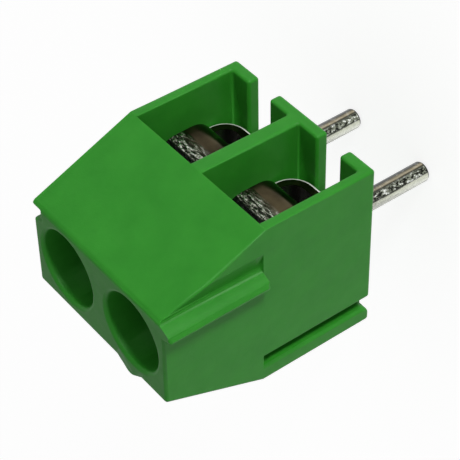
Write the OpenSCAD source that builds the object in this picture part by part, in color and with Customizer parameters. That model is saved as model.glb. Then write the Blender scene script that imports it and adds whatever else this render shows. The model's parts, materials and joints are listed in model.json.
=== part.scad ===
// Two-pole screw terminal block for a printed circuit board, 3.5 mm pitch.
// X runs along the row of poles, the wires enter from -Y, the screws are on +Z.
// The board plane is z = 0 and the solder pins point to -Z. All lengths in mm.

/* [Block] */
// distance between neighbouring poles
pitch = 3.5; // [3.5:0.01:5.08]
// height above the board
height = 8.23; // [7.5:0.01:10]
// front face, measured from the pin axis towards the wires
front = 3.34; // [3:0.01:4.5]
// back face, measured from the pin axis
back = 3.28; // [3:0.01:4.5]
// height at which the front face starts to slope back
front_height = 4.29; // [3.8:0.01:5]
// height at which the back face starts to slant forward
back_height = 4.44; // [3.8:0.01:5]
// front edge of the top face, measured from the pin axis
top_front = 1.71; // [1.6:0.01:2.2]
// back edge of the top face, measured from the pin axis
top_back = 1.73; // [1.6:0.01:2.2]
// rounding of the long edges
edge_round = 0.13; // [0.05:0.01:0.3]
// rounding of the edges at both ends of the front slope
slope_round = 0.26; // [0.05:0.01:0.5]
// inset of the side faces above the parting line
side_inset = 0.01; // [0:0.005:0.1]

/* [Wire entry] */
// width of one wire chamber
chamber_width = 2.89; // [2.5:0.01:3.1]
// shift of the chambers towards the middle of the block
chamber_shift = 0.025; // [0:0.005:0.1]
// thickness of the wall on the board side
floor_wall = 0.46; // [0.4:0.01:0.8]
// width of the slot that the pin passes on its way in
pin_slot_width = 1.08; // [0.9:0.01:1.4]
// height of the guard pocket above the board
pocket_height = 5.1; // [4.8:0.05:5.5]

/* [Screw access] */
// radius of the hole above each screw, at its mouth
access_radius = 1.38; // [1.3:0.01:1.6]
// depth of the mouth, below which the hole narrows to guide the head
access_depth = 1.9; // [0.8:0.05:2]
// radius of the hole that guides the head
guide_radius = 1.21; // [1.15:0.01:1.22]
// chamfer of the hole mouth
access_chamfer = 0.08; // [0.02:0.01:0.2]
// how far the mark behind the first pole stands out
mark_rise = 0.33; // [0.2:0.01:0.4]
// half width of the mark at its foot
mark_half = 0.82; // [0.5:0.01:1]

/* [Ganging] */
// how far the ribs stand out
rib_reach = 0.39; // [0.3:0.01:0.45]
// front of the upper rib, measured from the pin axis
rib_front = 1.58; // [1.55:0.01:1.65]
// depth of the hollow in the side face along the front of the upper rib
rib_hollow = 0.17; // [0.05:0.01:0.2]
// lower end of the upper rib and groove
rib_start = 4.41; // [4:0.01:5]
// clearance between rib and groove
gang_gap = 0.04; // [0.02:0.01:0.1]
// depth of the lower groove
low_groove_depth = 0.48; // [0.4:0.01:0.6]

/* [Clamp body] */
// thickness of the strip that the clamp body is bent from
strip = 0.36; // [0.3:0.01:0.4]
// half width over the two arms
clamp_half = 1.38; // [1.2:0.01:1.45]
// outer bend radius at the board side
clamp_bend = 0.88; // [0.6:0.01:1.2]
// underside above the board
clamp_low = 0.61; // [0.5:0.01:0.7]
// top side above the board
clamp_high = 4.15; // [4:0.01:4.25]
// front edge, measured from the pin axis towards the wires
clamp_front = 1.48; // [1.3:0.01:1.6]
// back edge, measured from the pin axis
clamp_back = 1.65; // [1.4:0.01:1.8]

/* [Solder pin] */
// radius of the pin
pin_radius = 0.365; // [0.3:0.005:0.5]
// length below the board plane
pin_length = 3.75; // [3:0.05:4.5]
// chamfer at the tip
pin_chamfer = 0.1; // [0.05:0.01:0.2]
// radius of the countersunk tenon at the underside of the clamp body
tenon_radius = 0.3; // [0.25:0.01:0.35]
// radius of the collar that the clamp body rests on
collar_radius = 0.52; // [0.52:0.005:0.53]
// start of the collar above the board
collar_low = 0.1; // [0.05:0.01:0.13]

/* [Clamp screw] */
// thread radius
thread_radius = 0.97; // [0.8:0.01:1]
// radial clearance in the clamp body
thread_gap = 0.04; // [0.02:0.01:0.08]
// head radius
head_radius = 1.17; // [1.05:0.01:1.18]
// height of the head above its underside
head_height = 1.2; // [0.8:0.05:1.6]
// underside of the head above the board
head_low = 4.85; // [4.6:0.05:5.2]
// driver slot width
driver_slot = 0.42; // [0.3:0.01:0.6]
// driver slot depth
driver_depth = 0.6; // [0.4:0.01:0.8]

/* [Wire guard] */
// thickness of the guard strip
guard_strip = 0.18; // [0.1:0.01:0.3]
// half width of the guard
guard_half = 0.88; // [0.7:0.01:0.9]
// front of the apron, measured from the pin axis
guard_front = 2.38; // [2.2:0.01:2.6]
// underside of the foot above the board
guard_low = 1.77; // [1.5:0.01:2.5]
// outer bend radius between apron and foot
guard_bend = 0.79; // [0.4:0.01:1]
// top of the apron above the board
guard_high = 3.72; // [3.6:0.01:4]
// end of the foot behind the pin axis
foot_end = 0.86; // [0.6:0.01:1.2]

/* [Output] */
// node to show

/* [Hidden] */
$fn = 64;
poles = 2;                              // the nodes above are those of two poles
width = pitch * poles;
eps = 0.01;
head_flare = 0.2;                       // reach of the pin's closing head
cut = 1;
cavity_back = clamp_back;               // the clamp body stands against the chamber's end
foot_top = guard_low + guard_strip;
screw_tip = foot_top + 0.01;
bend_y = guard_front - guard_bend;      // bend centre, towards the wires
bend_z = guard_low + guard_bend;
lean_start = bend_z + 0.65;             // above this the apron curves back

function pole_x(i) = (i - (poles + 1) / 2) * pitch;
function chamber_x(i) = pole_x(i) - sign(pole_x(i)) * chamber_shift;

// the outline with each convex corner turned into an arc of the radius listed for it
function softened(outline, radii, steps = 5) = [
    for (i = [0 : len(outline) - 1])
        let (n = len(outline), p = outline[i], r = radii[i],
             a = outline[(i + n - 1) % n] - p, b = outline[(i + 1) % n] - p,
             ua = a / norm(a), ub = b / norm(b),
             half = acos(ua * ub) / 2,
             centre = p + (ua + ub) / norm(ua + ub) * r / sin(half),
             from = p + ua * r / tan(half) - centre,
             turn = 180 - 2 * half)
            for (k = [0 : steps])
                let (t = turn * k / steps)
                    centre + [from[0] * cos(t) - from[1] * sin(t),
                              from[0] * sin(t) + from[1] * cos(t)]
];

// lays a profile drawn as (y, z) along X, centred on x = 0
module along_x(length) {
    rotate([90, 0, 90]) linear_extrude(height = length, center = true) children();
}

// ---------- housing ----------
module block_profile() {
    polygon(softened([[-front, 0], [back, 0], [back, back_height], [top_back, height],
                      [-top_front, height], [-front, front_height]],
                     [edge_round, edge_round, edge_round, edge_round, slope_round, slope_round]));
}

module block() {
    along_x(width - 2 * side_inset) block_profile();
    intersection() {
        along_x(width) block_profile();
        translate([-width, -front - cut, -cut])
            cube([2 * width, front + back + 2 * cut, rib_start + cut]);
    }
}

// rounded swelling of the back face near the top, which marks the first pole
module pole_mark() {
    low = height - 1.2;
    foot = top_back - 0.1;
    translate([pole_x(1) + 0.22, 0, low]) linear_extrude(height = height - low)
        polygon(concat([[-mark_half, 1]], [for (t = [-1 : 0.125 : 1])
            [mark_half * t, foot + (mark_rise + 0.1) * (1 + cos(180 * t)) / 2]],
            [[mark_half, 1]]));
}

// upper rib drawn as (x, y) off a side face at x = 0, its front rounded off
module rib_profile(gap) {
    front = -rib_front - gap;
    reach = rib_reach + gap;
    polygon([[0.3, front], [0, front], [-reach + 0.2, front + 0.08], [-reach + 0.07, front + 0.17],
             [-reach, front + 0.3], [-reach, -1.2 + gap], [0, -1.075 + gap], [0.3, -1.075 + gap]]);
}

module upper_rib() {
    translate([-width / 2, 0, rib_start])
        linear_extrude(height = height - rib_start) rib_profile(0);
}

// trough in the side face along the foot of the rib
module rib_valley() {
    trough = [[-0.8, 0], [-0.5, 0.4], [-0.27, 0.85], [-0.12, 1], [-0.04, 0.75], [0, 0]];
    translate([-width / 2, -rib_front, rib_start]) linear_extrude(height = height)
        polygon(concat([[-cut, -0.8]], [for (p = trough) [side_inset + rib_hollow * p[1], p[0]]],
                       [[-cut, 0]]));
}

// upper groove on the right side, which takes the rib of the next block
module upper_groove() {
    translate([width / 2, 0, rib_start - gang_gap]) linear_extrude(height = height) {
        rib_profile(gang_gap);
        translate([-rib_reach, -rib_front - gang_gap]) square([cut, 0.3]);
    }
}

// lower groove drawn as (y, z), open and flared at the board side
module low_groove_profile() {
    flare = 0.32;
    lead = 0.12;
    translate([2.22, -cut]) square([0.47, 4.36 + cut]);
    difference() {
        translate([2.22 - lead, -cut]) square([lead + 0.47 + flare, flare + cut]);
        translate([2.69 + flare, flare]) circle(r = flare);
        translate([2.22 - lead, lead]) circle(r = lead);
        translate([2.22 - 2 * lead, lead]) square([2 * lead, 1]);
    }
}

module lower_groove() {
    translate([-width / 2 + low_groove_depth / 2 - cut / 2, 0, 0])
        along_x(low_groove_depth + cut) low_groove_profile();
}

module lower_rib() {
    translate([width / 2 - 0.1, 2.22 + gang_gap, 0.3])
        cube([rib_reach + 0.1, 0.47 - 2 * gang_gap, 3.9]);
}

// chamber drawn as (y, z): entry, clamp bay and the pocket for the raised guard
module chamber_profile() {
    polygon([[-front - cut, floor_wall], [cavity_back, floor_wall], [cavity_back, front_height],
             [-1.9, front_height], [-1.9, pocket_height], [-2.6, pocket_height],
             [-2.98, front_height + 0.05], [-front, front_height], [-front - cut, front_height]]);
}

module pole_cuts(i) {
    x = pole_x(i);
    translate([chamber_x(i), 0, 0]) along_x(chamber_width) chamber_profile();
    // slot in the board-side wall, closed round the pin
    translate([x, 0, -cut]) cylinder(d = pin_slot_width, h = floor_wall + cut + eps);
    translate([x - pin_slot_width / 2, -front - cut, -cut])
        cube([pin_slot_width, front + cut, floor_wall + cut + eps]);
    // screw access
    translate([x, 0, front_height - eps]) cylinder(r = guide_radius, h = height, $fn = 96);
    translate([x, 0, height - access_depth]) cylinder(r = access_radius, h = height, $fn = 96);
    translate([x, 0, height - access_chamfer])
        cylinder(r1 = access_radius, r2 = access_radius + 2 * access_chamfer,
                 h = 2 * access_chamfer, $fn = 96);
}

module housing() {
    color([0.13, 0.55, 0.16]) difference() {
        union() {
            difference() {
                block();
                rib_valley();
            }
            pole_mark();
            upper_rib();
            lower_rib();
        }
        for (i = [1 : poles]) pole_cuts(i);
        upper_groove();
        lower_groove();
    }
}

// ---------- clamp body: strip bent round to a closed loop ----------
module loop_outline(grow) {
    // drawn as (x, z); grow shrinks or widens the whole loop
    r = clamp_bend + grow;
    top = clamp_high + grow;
    w = clamp_half + grow;
    low = clamp_low - grow;
    rt = 0.5 + grow;
    union() {
        translate([-w, low + r]) square([2 * w, top - rt - low - r]);
        translate([-w + rt, top - rt - eps]) square([2 * (w - rt), rt + eps]);
        translate([-w + r, low]) square([2 * (w - r), r + eps]);
        for (s = [-1, 1]) {
            translate([s * (w - r), low + r]) circle(r = r);
            translate([s * (w - rt), top - rt]) circle(r = rt);
        }
    }
}

module clamp_body(i) {
    depth = clamp_front + clamp_back;
    color([0.78, 0.78, 0.74]) translate([pole_x(i), 0, 0]) difference() {
        translate([0, clamp_back, 0]) rotate([90, 0, 0]) linear_extrude(height = depth)
            difference() {
                loop_outline(0);
                // the top is two layers thick, where the strip ends overlap
                intersection() {
                    loop_outline(-strip);
                    translate([-clamp_half, 0]) square([2 * clamp_half, clamp_high - 2 * strip]);
                }
                // seam of the inner layer against the left arm
                translate([-clamp_half + strip - eps, clamp_high - 2 * strip - eps])
                    square([0.06, strip]);
            }
        // tapped bore, plain here
        translate([0, 0, clamp_high - 2 * strip - eps])
            cylinder(r = thread_radius + thread_gap, h = 2 * strip + cut);
        // countersunk hole for the pin
        translate([0, 0, clamp_low])
            cylinder(r1 = tenon_radius, r2 = tenon_radius + head_flare, h = strip);
    }
}

// ---------- solder pin with its collar and closing head ----------
module pin(i) {
    head = clamp_low + strip;
    color([0.8, 0.8, 0.78]) translate([pole_x(i), 0, 0]) rotate_extrude()
        polygon([[0, -pin_length], [pin_radius - pin_chamfer, -pin_length],
                 [pin_radius - 0.03, -pin_length + 0.04], [pin_radius, -pin_length + pin_chamfer],
                 [pin_radius, collar_low], [collar_radius, collar_low + 0.06],
                 [collar_radius, clamp_low], [tenon_radius, clamp_low],
                 [tenon_radius + head_flare, head], [0, head]]);
}

// ---------- wire guard: apron in front, foot under the screw ----------
function lean_point(t) = [-guard_front + 0.17 * t * t, lean_start + (guard_high - lean_start) * t];

module guard_profile() {
    // drawn as (y, z)
    difference() {
        translate([-bend_y, bend_z]) circle(r = guard_bend);
        translate([-bend_y, bend_z]) circle(r = guard_bend - guard_strip);
        translate([-bend_y, guard_low - 1]) square([3, 3]);
        translate([-bend_y - 2, bend_z]) square([4, 2]);
    }
    translate([-guard_front, bend_z - eps]) square([guard_strip, lean_start - bend_z + 2 * eps]);
    polygon(concat([for (t = [0 : 0.25 : 1]) lean_point(t)],
                   [for (t = [1 : -0.25 : 0]) lean_point(t) + [guard_strip, 0]]));
    translate([-bend_y - eps, guard_low]) square([bend_y + foot_end + eps - 0.15, guard_strip]);
    // the foot ends in a small upward lip
    translate([foot_end - 0.16, guard_low]) polygon([[0, 0], [0.16, 0.05], [0.16, 0.05 + guard_strip],
                                                     [0, guard_strip]]);
}

module wire_guard(i) {
    color([0.72, 0.72, 0.7]) translate([pole_x(i), 0, 0]) along_x(2 * guard_half) guard_profile();
}

// ---------- clamp screw ----------
module screw(i) {
    head_top = head_low + head_height;
    color([0.7, 0.71, 0.72]) translate([pole_x(i), 0, 0]) difference() {
        rotate_extrude($fn = 96)
            polygon([[0, screw_tip], [thread_radius - 0.3, screw_tip],
                     [thread_radius, screw_tip + 0.3], [thread_radius, head_low],
                     [head_radius, head_low], [head_radius, head_top - 0.15],
                     [head_radius - 0.15, head_top], [0, head_top]]);
        translate([-2, -driver_slot / 2, head_top - driver_depth])
            cube([4, driver_slot, driver_depth + cut]);
    }
}

module clamp_body_1() { clamp_body(1); }
module clamp_body_2() { clamp_body(2); }
module pin_1() { pin(1); }
module pin_2() { pin(2); }
module wire_guard_1() { wire_guard(1); }
module wire_guard_2() { wire_guard(2); }
module screw_1() { screw(1); }
module screw_2() { screw(2); }

housing();
clamp_body_1();
clamp_body_2();
pin_1();
pin_2();
wire_guard_1();
wire_guard_2();
screw_1();
screw_2();
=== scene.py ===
"""Two-pole screw terminal block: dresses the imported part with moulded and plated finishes."""
import json
import math

import bmesh
import bpy
from mathutils import Matrix, Vector


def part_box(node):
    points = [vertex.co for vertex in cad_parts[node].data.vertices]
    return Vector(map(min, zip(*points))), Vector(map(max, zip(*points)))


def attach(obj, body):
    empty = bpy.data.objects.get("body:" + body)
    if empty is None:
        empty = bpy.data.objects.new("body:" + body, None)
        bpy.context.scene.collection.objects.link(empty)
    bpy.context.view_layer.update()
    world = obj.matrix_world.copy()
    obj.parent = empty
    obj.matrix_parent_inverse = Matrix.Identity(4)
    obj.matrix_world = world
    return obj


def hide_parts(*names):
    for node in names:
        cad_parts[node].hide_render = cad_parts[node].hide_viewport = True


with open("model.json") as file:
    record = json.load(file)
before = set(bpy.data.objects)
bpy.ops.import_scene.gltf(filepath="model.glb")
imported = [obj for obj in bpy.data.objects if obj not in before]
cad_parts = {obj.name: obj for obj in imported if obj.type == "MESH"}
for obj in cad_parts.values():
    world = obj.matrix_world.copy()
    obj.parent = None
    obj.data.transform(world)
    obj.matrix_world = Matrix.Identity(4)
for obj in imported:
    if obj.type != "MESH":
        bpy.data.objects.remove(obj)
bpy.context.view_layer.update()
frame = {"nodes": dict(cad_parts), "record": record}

MM = 0.001
POLES = ("1", "2")

# places and sizes in millimetres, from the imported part
PIN_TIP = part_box("pin_1")[0].z / MM
PITCH = (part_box("pin_2")[0].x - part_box("pin_1")[0].x) / MM
CLAMP_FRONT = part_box("clamp_body_1")[0].y / MM
GUARD_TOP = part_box("wire_guard_1")[1].z / MM
BLOCK_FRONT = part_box("housing")[0].y / MM

# where the edges of the housing lie that are treated apart, in millimetres
CHAMBER_FLOOR_Z = (0.3, 0.6)
RIB_ROUND_X = (-3.87, -3.6)
RIB_ROUND_Y = (-1.6, -1.35)
RIB_END_Y = (-1.9, -1.4)
RIB_LENGTH_Z = (4.45, 7.8)
SIDE_X = 3.2
LIP_Z = (4.2, 4.8)

MERGE = 0.0005 * MM  # corners closer than this are one
FLAT = math.radians(0.5)  # faces that meet at less than this are one
PATCH = math.radians(20)  # faces that meet at less than this make a smooth patch
SHARP = math.radians(32)  # edges above this are shaded as edges
SOFTENED = math.radians(35)  # outer edges above this are rounded
ONE_RUN = math.radians(135)  # edges at a wider angle than this continue each other

WHITE = 0.82  # brightness of the floor and the backdrop where they are seen
ROOM = 0.36  # brightness of the room all round


# ---------- node helpers ----------
def new_material(name):
    material = bpy.data.materials.new(name)
    material.use_nodes = True
    tree = material.node_tree
    return material, tree, tree.nodes["Principled BSDF"]


def add(tree, kind, **settings):
    node = tree.nodes.new(kind)
    for key, value in settings.items():
        setattr(node, key, value)
    return node


def millimetres(tree, stretch=(1, 1, 1)):
    """Object coordinates turned into millimetres, with the pattern drawn out along an axis by stretch."""
    where = add(tree, "ShaderNodeTexCoord")
    mapping = add(tree, "ShaderNodeMapping")
    mapping.inputs["Scale"].default_value = [1 / (MM * s) for s in stretch]
    tree.links.new(where.outputs["Object"], mapping.inputs["Vector"])
    return mapping.outputs["Vector"]


def position(tree, axis):
    """One Object coordinate in millimetres."""
    split = add(tree, "ShaderNodeSeparateXYZ")
    tree.links.new(millimetres(tree), split.inputs[0])
    return split.outputs[axis]


def noise(tree, vector, per_mm, detail=3.0, rough=0.5):
    node = add(tree, "ShaderNodeTexNoise")
    node.inputs["Scale"].default_value = per_mm
    node.inputs["Detail"].default_value = detail
    node.inputs["Roughness"].default_value = rough
    tree.links.new(vector, node.inputs["Vector"])
    return node.outputs["Fac"]


def ramp(tree, factor, *stops):
    """Colours at the places given as (place, colour), blended between them."""
    node = add(tree, "ShaderNodeValToRGB")
    band = node.color_ramp
    while len(band.elements) < len(stops):
        band.elements.new(0.5)
    for element, (place, colour) in zip(band.elements, stops):
        element.position = place
        element.color = (*colour, 1)
    tree.links.new(factor, node.inputs["Fac"])
    return node.outputs["Color"]


def maths(tree, operation, *values):
    """A Math node on sockets and plain numbers."""
    node = add(tree, "ShaderNodeMath", operation=operation)
    for socket, value in zip(node.inputs, values):
        if isinstance(value, (int, float)):
            socket.default_value = value
        else:
            tree.links.new(value, socket)
    return node.outputs[0]


def between(tree, value, low, high):
    """0 up to low, 1 from high on."""
    node = add(tree, "ShaderNodeMapRange")
    node.inputs["From Min"].default_value = low
    node.inputs["From Max"].default_value = high
    tree.links.new(value, node.inputs["Value"])
    return node.outputs["Result"]


def mixed(tree, factor, first, second):
    """A colour between first and second, each a socket or an RGB tuple."""
    node = add(tree, "ShaderNodeMix", data_type="RGBA")
    tree.links.new(factor, node.inputs["Factor"])
    for socket, value in zip((node.inputs[6], node.inputs[7]), (first, second)):
        if isinstance(value, tuple):
            socket.default_value = (*value, 1)
        else:
            tree.links.new(value, socket)
    return node.outputs[2]


def bump(tree, height, reach_mm, strength, under=None):
    node = add(tree, "ShaderNodeBump")
    node.inputs["Distance"].default_value = reach_mm * MM
    node.inputs["Strength"].default_value = strength
    tree.links.new(height, node.inputs["Height"])
    if under is not None:
        tree.links.new(under, node.inputs["Normal"])
    return node.outputs["Normal"]


def uneven_gloss(tree, shader, pattern, smoothest, roughest):
    """Lets the roughness wander with the pattern."""
    node = add(tree, "ShaderNodeMapRange")
    node.inputs["To Min"].default_value = smoothest
    node.inputs["To Max"].default_value = roughest
    tree.links.new(pattern, node.inputs["Value"])
    tree.links.new(node.outputs["Result"], shader.inputs["Roughness"])


def plated(tree, shader, colour, height, reach_mm, roughness):
    """Bare metal of the colour given, dented by the height pattern."""
    tree.links.new(colour, shader.inputs["Base Color"])
    shader.inputs["Metallic"].default_value = 1.0
    shader.inputs["Roughness"].default_value = roughness
    tree.links.new(bump(tree, height, reach_mm, 1.0), shader.inputs["Normal"])


# ---------- materials ----------
def green_polyamide():
    """Moulded polyamide: satin, slightly cloudy, with faint sink waves and a fine grain."""
    material, tree, shader = new_material("green_polyamide")
    mm = millimetres(tree)
    cloud = noise(tree, mm, 0.9, detail=4, rough=0.6)
    colour = ramp(tree, cloud, (0.3, (0.023, 0.237, 0.016)), (0.7, (0.031, 0.272, 0.021)))
    tree.links.new(colour, shader.inputs["Base Color"])
    uneven_gloss(tree, shader, noise(tree, mm, 3.0, detail=2), 0.40, 0.52)
    shader.inputs["Specular IOR Level"].default_value = 0.22
    shader.inputs["Subsurface Weight"].default_value = 0.3
    shader.inputs["Subsurface Radius"].default_value = (0.35, 1.0, 0.3)
    shader.inputs["Subsurface Scale"].default_value = 0.5 * MM
    waves = bump(tree, noise(tree, mm, 1.1, detail=2), 0.05, 0.35)
    grain = bump(tree, noise(tree, mm, 16, detail=3), 0.006, 0.5, under=waves)
    tree.links.new(grain, shader.inputs["Normal"])
    return material


def across_pin(tree):
    """0 to 1 from side to side of a pin, seen from its front left, wandering a little along the pin; it
    lays out the painted reflection runs.
    """
    pitches = maths(tree, "DIVIDE", position(tree, "X"), PITCH)
    off_axis = maths(tree, "SUBTRACT", maths(tree, "FRACT", pitches), 0.5)
    across = maths(tree, "ADD", maths(tree, "MULTIPLY", off_axis, -3.67),
                   maths(tree, "MULTIPLY", position(tree, "Y"), 0.88))
    wander = noise(tree, millimetres(tree, (1, 1, 3)), 2.0)
    return maths(tree, "ADD", across, maths(tree, "MULTIPLY_ADD", wander, 0.12, 0.44))


def pin_plate():
    """Dipped tin with painted light: a bright run and a brown run along the pin are painted reflections,
    with dark painted lines beside them; the pitted band between them has painted shade in its pits and
    painted glints.
    """
    material, tree, shader = new_material("pin_tin")
    place = across_pin(tree)
    dark = (0.012, 0.014, 0.010)
    # near-white colour of the painted glints
    bright = (0.86, 0.88, 0.84)
    # painted reflections: dark lines, a brown run, a grey band and a bright run across the pin as it is
    # seen
    painted_reflection_runs = ramp(tree, place, (0.09, dark), (0.13, (0.18, 0.15, 0.09)), (0.21, (0.46, 0.40, 0.28)),
                (0.26, (0.16, 0.14, 0.09)), (0.29, dark), (0.34, (0.24, 0.26, 0.20)),
                (0.62, (0.26, 0.28, 0.22)), (0.67, dark), (0.71, (0.60, 0.62, 0.50)),
                (0.94, (0.78, 0.79, 0.71)), (1.0, (0.45, 0.47, 0.38)))
    pitted = ramp(tree, place, (0.30, (0.15,) * 3), (0.38, (1,) * 3), (0.62, (1,) * 3), (0.72, (0.1,) * 3))
    pits = noise(tree, millimetres(tree, (1, 1, 1.5)), 9.5, detail=2, rough=0.6)
    # painted shade: near-black in the pits of the band
    painted_pit_shade = maths(tree, "MULTIPLY", between(tree, pits, 0.50, 0.44), pitted)
    # painted glints: near-white flecks among the pits
    painted_glints = maths(tree, "MULTIPLY", between(tree, pits, 0.57, 0.61), pitted)
    shaft = mixed(tree, painted_glints, mixed(tree, painted_pit_shade, painted_reflection_runs, dark), bright)
    # darker over the last tenth of a millimetre at the tip
    darkened_tip = between(tree, position(tree, "Z"), PIN_TIP + 0.11, PIN_TIP + 0.07)
    colour = mixed(tree, darkened_tip, shaft, dark)
    plated(tree, shader, colour, maths(tree, "MULTIPLY", pits, pitted), 0.06, 0.18)
    return material


def guard_plate():
    """Tinned strip: crinkled on the apron with painted glints and dark painted reflections, a painted
    shadow at its upper end, and a painted brown reflection where it is bent and smooth.
    """
    material, tree, shader = new_material("guard_tin")
    dark = (0.012, 0.014, 0.012)
    crinkle = noise(tree, millimetres(tree, (3.2, 1, 1)), 11, detail=3, rough=0.6)
    # painted reflections: the crinkles get near-black and near-white patches, painted glints among them
    tin = ramp(tree, crinkle, (0.42, (0.015, 0.018, 0.012)), (0.49, (0.12, 0.13, 0.10)),
               (0.56, (0.36, 0.37, 0.30)), (0.63, (0.92, 0.92, 0.86)))
    blotch_noise = noise(tree, millimetres(tree), 1.2)
    # painted reflection: a brown tone where the strip is bent and smooth
    brown = ramp(tree, blotch_noise, (0.35, (0.03, 0.024, 0.012)), (0.65, (0.08, 0.064, 0.034)))
    height = position(tree, "Z")
    apron = between(tree, height, GUARD_TOP - 0.87, GUARD_TOP - 0.52)
    # painted shadow: dark at the upper end, where the lip over the wire entry shades the strip
    painted_lip_shadow = between(tree, height, GUARD_TOP - 0.27, GUARD_TOP - 0.23)
    colour = mixed(tree, painted_lip_shadow, mixed(tree, apron, brown, tin), dark)
    plated(tree, shader, colour, maths(tree, "MULTIPLY", crinkle, apron), 0.12, 0.2)
    return material


def clamp_plate():
    """Tinned brass: bright on the bent surface, with painted shade on the stamped edges at the front."""
    material, tree, shader = new_material("clamp_tin")
    blotch_noise = noise(tree, millimetres(tree), 1.6, detail=4)
    tin = ramp(tree, blotch_noise, (0.35, (0.50, 0.49, 0.44)), (0.6, (0.82, 0.81, 0.77)))
    # painted shade: dark on the faces at the front
    painted_front_shade = ramp(tree, blotch_noise, (0.35, (0.055, 0.040, 0.022)), (0.65, (0.10, 0.075, 0.045)))
    behind = between(tree, position(tree, "Y"), CLAMP_FRONT + 0.005, CLAMP_FRONT + 0.02)
    plated(tree, shader, mixed(tree, behind, painted_front_shade, tin), blotch_noise, 0.02, 0.24)
    return material


def painted_edge_highlight():
    """Painted highlight on the rounded outer edge of the clamp body: a pale, half-metallic grey."""
    material, tree, shader = new_material("painted_edge_highlight")
    highlight_variation = noise(tree, millimetres(tree), 6.0)
    # painted highlight: pale grey where the rounded edge catches the light
    colour = ramp(tree, highlight_variation, (0.3, (0.80, 0.80, 0.76)), (0.7, (0.95, 0.95, 0.93)))
    tree.links.new(colour, shader.inputs["Base Color"])
    shader.inputs["Metallic"].default_value = 0.25
    shader.inputs["Roughness"].default_value = 0.5
    return material


def zinc_plate():
    """Zinc on steel: blue-grey, worn unevenly, with a fine grain."""
    material, tree, shader = new_material("zinc_plate")
    mm = millimetres(tree)
    wear = noise(tree, mm, 2.5, detail=4)
    colour = ramp(tree, wear, (0.35, (0.46, 0.48, 0.52)), (0.65, (0.60, 0.61, 0.63)))
    tree.links.new(colour, shader.inputs["Base Color"])
    shader.inputs["Metallic"].default_value = 1.0
    uneven_gloss(tree, shader, wear, 0.28, 0.45)
    tree.links.new(bump(tree, noise(tree, mm, 20, detail=2), 0.003, 0.6), shader.inputs["Normal"])
    return material


# ---------- mesh helpers ----------
def place_object(name, data):
    """A new object in the scene, of the mesh, lamp or camera given."""
    obj = bpy.data.objects.new(name, data)
    bpy.context.scene.collection.objects.link(obj)
    return obj


def mesh_of(bm, name):
    """A mesh made from the bmesh, which is freed."""
    mesh = bpy.data.meshes.new(name)
    bm.to_mesh(mesh)
    bm.free()
    return mesh


def merged_copy(node):
    """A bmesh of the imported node, its loose triangles merged and its flat faces joined up."""
    bm = bmesh.new()
    bm.from_mesh(frame["nodes"][node].data)
    join_up(bm)
    return bm


def join_up(bm):
    bmesh.ops.remove_doubles(bm, verts=bm.verts, dist=MERGE)
    bmesh.ops.dissolve_degenerate(bm, edges=bm.edges, dist=MERGE)
    bmesh.ops.dissolve_limit(bm, angle_limit=FLAT, verts=bm.verts, edges=bm.edges,
                             use_dissolve_boundaries=False)


def middle_of(edge):
    return (edge.verts[0].co + edge.verts[1].co) / 2


def patch_outlines(bm):
    """For every face, the outer edges of the smooth patch that it belongs to."""
    outlines = {}
    for seed in bm.faces:
        if seed in outlines:
            continue
        patch, queue, outline = {seed}, [seed], []
        while queue:
            for edge in queue.pop().edges:
                if len(edge.link_faces) == 2 and edge.calc_face_angle() > PATCH:
                    outline.append(edge)
                    continue
                fresh = [face for face in edge.link_faces if face not in patch]
                patch.update(fresh)
                queue.extend(fresh)
        outlines.update((face, outline) for face in patch)
    return outlines


def room_beside(edge, face, outline):
    """Distance from the edge, across the patch of the face, to the next edge."""
    loop = next(loop for loop in face.loops if loop.edge == edge)
    start, end = loop.vert.co, loop.link_loop_next.vert.co
    along = (end - start).normalized()
    inward = face.normal.cross(along)
    room = 1.0
    for share in (0.1, 0.5, 0.9):
        origin = start.lerp(end, share)
        for other in outline:
            first, second = (vert.co - origin for vert in other.verts)
            side_a, side_b = first.dot(along), second.dot(along)
            if other == edge or side_a * side_b > 0 or side_a == side_b:
                continue
            crossing = first.lerp(second, side_a / (side_a - side_b))
            ahead = crossing.dot(inward)
            if ahead > 2 * MERGE and abs(crossing.dot(face.normal)) < ahead:
                room = min(room, ahead)
    return room


def runs_on(edge, other):
    """Whether the other edge continues this one without a corner."""
    shared = next((vert for vert in edge.verts if vert in other.verts), None)
    if shared is None or edge == other:
        return False
    first, second = (item.other_vert(shared).co - shared.co for item in (edge, other))
    return first.angle(second) > ONE_RUN


def run_of(edge, edges):
    """The edge and those among the edges that continue it."""
    run, queue = set(), [edge]
    while queue:
        edge = queue.pop()
        run.add(edge)
        queue.extend(other for vert in edge.verts for other in vert.link_edges
                     if other in edges and other not in run and runs_on(edge, other))
    return run


def mark_soft_edges(bm, width, chosen):
    """Gives the chosen sharp edges a bevel weight, the same along each run, less where it is tight."""
    weight = bm.edges.layers.float.new("bevel_weight_edge")
    outlines = patch_outlines(bm)
    least_room, full_room = 0.6 * width, 2.2 * width
    share = {}
    for edge in bm.edges:
        outer = edge.is_manifold and edge.is_convex
        if not (outer and chosen(edge)) or edge.calc_face_angle() < SOFTENED:
            continue
        room = min(room_beside(edge, face, outlines[face]) for face in edge.link_faces)
        if room > least_room:
            share[edge] = min(1.0, room / full_room)
    while share:
        run = run_of(next(iter(share)), share)
        least = min(share[edge] for edge in run)
        for edge in run:
            edge[weight] = least
            del share[edge]


def rounded(bm, edges, width):
    """Turns each of the edges into a small round of the width given."""
    bmesh.ops.bevel(bm, geom=edges, offset=width, offset_type="OFFSET", affect="EDGES",
                    segments=5, profile=0.5, clamp_overlap=False, material=-1)


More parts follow.
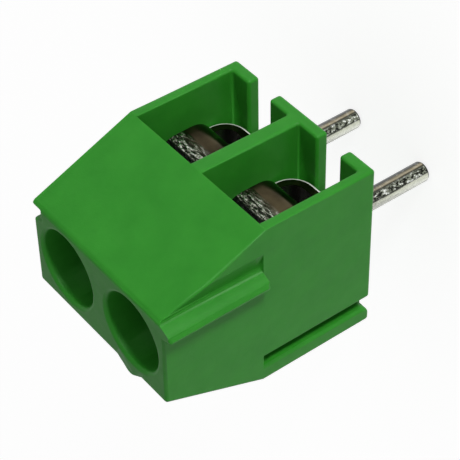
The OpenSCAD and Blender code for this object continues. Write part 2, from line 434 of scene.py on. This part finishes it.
def finish_edges(obj, width, edge_material):
    """Rounds the marked edges, with a material of their own if one is given, and evens the shading."""
    bevel = obj.modifiers.new("softened_edges", "BEVEL")
    bevel.width = width
    bevel.segments = 3
    bevel.limit_method = "WEIGHT"
    bevel.use_clamp_overlap = False
    bevel.loop_slide = False
    bevel.miter_outer = "MITER_ARC"
    if edge_material:
        obj.data.materials.append(edge_material)
        bevel.material = 1
    even = obj.modifiers.new("even_shading", "WEIGHTED_NORMAL")
    even.keep_sharp = True
    even.weight = 90


def piece(bm, name, material, replaced, soften, chosen=lambda edge: True, edge_material=None):
    """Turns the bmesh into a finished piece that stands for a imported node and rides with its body."""
    mark_soft_edges(bm, soften * MM, chosen)
    mesh = mesh_of(bm, name)
    mesh.materials.append(material)
    mesh.shade_smooth()
    mesh.set_sharp_from_angle(angle=SHARP)
    obj = place_object(name, mesh)
    finish_edges(obj, soften * MM, edge_material)
    body = next(b for b, nodes in frame["record"]["behaviour"]["bodies"].items() if replaced in nodes)
    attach(obj, body)
    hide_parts(replaced)
    return obj


# ---------- housing ----------
def within(value, limits):
    low, high = limits
    return low < value < high


def lies_along(edge, axis, least):
    """Whether the edge is longer than least, in millimetres, and parallel to the axis."""
    reach = [abs(c) / MM for c in edge.verts[0].co - edge.verts[1].co]
    return reach.pop(axis) > least and max(reach) < 0.01


def chamber_corner(edge):
    """The long inner corners between the walls and the floor of the wire chambers."""
    start = edge.verts[0].co / MM
    return not edge.is_convex and lies_along(edge, 1, 4) and within(start.z, CHAMBER_FLOOR_Z)


def rib_front(edge):
    """The upright edges along the rounded front of the upper rib, on the -X side."""
    start = edge.verts[0].co / MM
    on_round = within(start.x, RIB_ROUND_X) and within(start.y, RIB_ROUND_Y)
    return edge.is_convex and lies_along(edge, 2, 0.5) and on_round


def kept_sharp(edge):
    """The ends of the upper rib and its groove, and the thin lip over the wire entries."""
    middle = middle_of(edge) / MM
    beside_rib = abs(middle.x) > SIDE_X and within(middle.y, RIB_END_Y)
    rib_end = beside_rib and not within(middle.z, RIB_LENGTH_Z)
    lip = abs(middle.y - BLOCK_FRONT) < 0.1 and within(middle.z, LIP_Z)
    return rib_end or lip


def even_sides(bm):
    """Takes away the parting step on the sides, which is too small to round."""
    step = 0.02 * MM
    side = max(vert.co.x for vert in bm.verts if abs(vert.co.z) < 0.01 * MM and vert.co.y < 0)
    for vert in bm.verts:
        if 0 < side - abs(vert.co.x) < step:
            vert.co.x = math.copysign(side, vert.co.x)
    join_up(bm)


def make_housing(material):
    bm = merged_copy("housing")
    even_sides(bm)
    rounded(bm, [edge for edge in bm.edges if chamber_corner(edge)], 0.1 * MM)
    rounded(bm, [edge for edge in bm.edges if rib_front(edge)], 0.065 * MM)
    return piece(bm, "moulded_block", material, "housing", soften=0.1,
                 chosen=lambda edge: not kept_sharp(edge))


# ---------- metal pieces ----------
def make_clamp_body(pole, material, edge_material):
    """The bent clamp; only the outer edge of its front is rounded, and it carries a painted highlight."""
    node = "clamp_body_" + pole
    low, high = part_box(node)

    def outer_front(edge):
        middle = middle_of(edge)
        outward = middle - (low + high) / 2
        outward.y = 0
        faces_out = any(face.normal.dot(outward) > 0.3 * outward.length for face in edge.link_faces)
        return middle.y < low.y + 0.08 * MM and faces_out

    return piece(merged_copy(node), "bent_clamp_" + pole, material, node, soften=0.1,
                 chosen=outer_front, edge_material=edge_material)


def make_guard(pole, material):
    node = "wire_guard_" + pole
    return piece(merged_copy(node), "guard_leaf_" + pole, material, node, soften=0.035)


def make_pin(pole, material):
    node = "pin_" + pole
    return piece(merged_copy(node), "round_pin_" + pole, material, node, soften=0.03)


def make_screw(pole, material):
    node = "screw_" + pole
    return piece(merged_copy(node), "clamp_screw_" + pole, material, node, soften=0.03)


# ---------- studio ----------
def seen_directly(tree):
    """1 for rays from the camera, a mirror-like surface or glass, else 0."""
    path = add(tree, "ShaderNodeLightPath")
    unbroken = maths(tree, "MAXIMUM", path.outputs["Is Camera Ray"], path.outputs["Is Glossy Ray"])
    return maths(tree, "MAXIMUM", unbroken, path.outputs["Is Transmission Ray"])


def white_floor():
    """A pale matt floor, seen nearly white but still with the shadow of the block."""
    material, tree, shader = new_material("white_floor")
    shader.inputs["Base Color"].default_value = (0.8, 0.8, 0.8, 1)
    shader.inputs["Roughness"].default_value = 0.9
    shader.inputs["Specular IOR Level"].default_value = 0.0
    glow = add(tree, "ShaderNodeEmission")
    glow.inputs["Strength"].default_value = WHITE
    shaded = add(tree, "ShaderNodeBsdfDiffuse")
    shaded.inputs["Color"].default_value = (0.42, 0.42, 0.42, 1)
    seen = add(tree, "ShaderNodeAddShader")
    tree.links.new(glow.outputs[0], seen.inputs[0])
    tree.links.new(shaded.outputs[0], seen.inputs[1])
    mix = add(tree, "ShaderNodeMixShader")
    tree.links.new(seen_directly(tree), mix.inputs["Fac"])
    tree.links.new(shader.outputs[0], mix.inputs[1])
    tree.links.new(seen.outputs[0], mix.inputs[2])
    tree.links.new(mix.outputs[0], tree.nodes["Material Output"].inputs["Surface"])
    return material


def make_floor():
    half_width = 1.5
    height = (PIN_TIP - 0.01) * MM
    bm = bmesh.new()
    bmesh.ops.create_grid(bm, x_segments=1, y_segments=1, size=half_width)
    bmesh.ops.translate(bm, verts=bm.verts, vec=(0, 0, height))
    mesh = mesh_of(bm, "floor")
    mesh.materials.append(white_floor())
    place_object("floor", mesh)


def make_world():
    """Even grey surroundings; the backdrop is seen white up to 15 degrees and fades out by 37."""
    world = bpy.data.worlds.new("studio")
    bpy.context.scene.world = world
    world.use_nodes = True
    tree = world.node_tree
    back = tree.nodes["Background"]
    split = add(tree, "ShaderNodeSeparateXYZ")
    tree.links.new(add(tree, "ShaderNodeTexCoord").outputs["Generated"], split.inputs[0])
    white_below, gone_above = 0.25, 0.60  # sines of the two angles
    height = between(tree, split.outputs["Z"], gone_above, white_below)
    backdrop = maths(tree, "MULTIPLY", seen_directly(tree), maths(tree, "MULTIPLY", height, WHITE))
    tree.links.new(maths(tree, "MAXIMUM", backdrop, ROOM), back.inputs["Strength"])
    back.inputs["Color"].default_value = (1, 1, 1, 1)


def make_lamp(name, towards, distance, size, level):
    """A square soft box; level is how brightly it lights a white face turned towards it."""
    light = bpy.data.lights.new(name, "AREA")
    light.size = size
    light.energy = level * math.pi ** 2 * distance ** 2
    lamp = place_object(name, light)
    direction = Vector(towards).normalized()
    aim = Vector((0, 0, 3 * MM))
    lamp.location = aim + direction * distance
    lamp.rotation_mode = "QUATERNION"
    lamp.rotation_quaternion = direction.to_track_quat("Z", "Y")


def make_camera():
    """The eye stands before the wire entries, to their left and above, with the pins to the right."""
    camera = bpy.data.cameras.new("camera")
    camera.lens = 147.1
    camera.sensor_width = 36
    camera.clip_start = 5 * MM
    camera.clip_end = 5
    eye = Vector((-35.375, -42.033, 29.351)) * MM
    right = Vector((-0.60894, 0.01613, -0.79305))
    up = Vector((0.54051, -0.72330, -0.42974))
    back = Vector((-0.58055, -0.69034, 0.43173))
    turn = Matrix((right, up, back)).transposed()
    obj = place_object("camera", camera)
    obj.matrix_world = Matrix.Translation(eye) @ turn.to_4x4()
    bpy.context.scene.camera = obj


# ---------- the block and its studio ----------
plastic = green_polyamide()
pin_tin = pin_plate()
guard_tin = guard_plate()
clamp_tin = clamp_plate()
edge_highlight = painted_edge_highlight()
zinc = zinc_plate()
make_housing(plastic)
for pole in POLES:
    make_clamp_body(pole, clamp_tin, edge_highlight)
    make_guard(pole, guard_tin)
    make_pin(pole, pin_tin)
    make_screw(pole, zinc)

make_floor()
make_world()
make_lamp("key", towards=(-0.40, -0.91, 0.03), distance=0.30, size=0.05, level=0.82)
make_camera()
bpy.context.scene.view_settings.view_transform = "Standard"
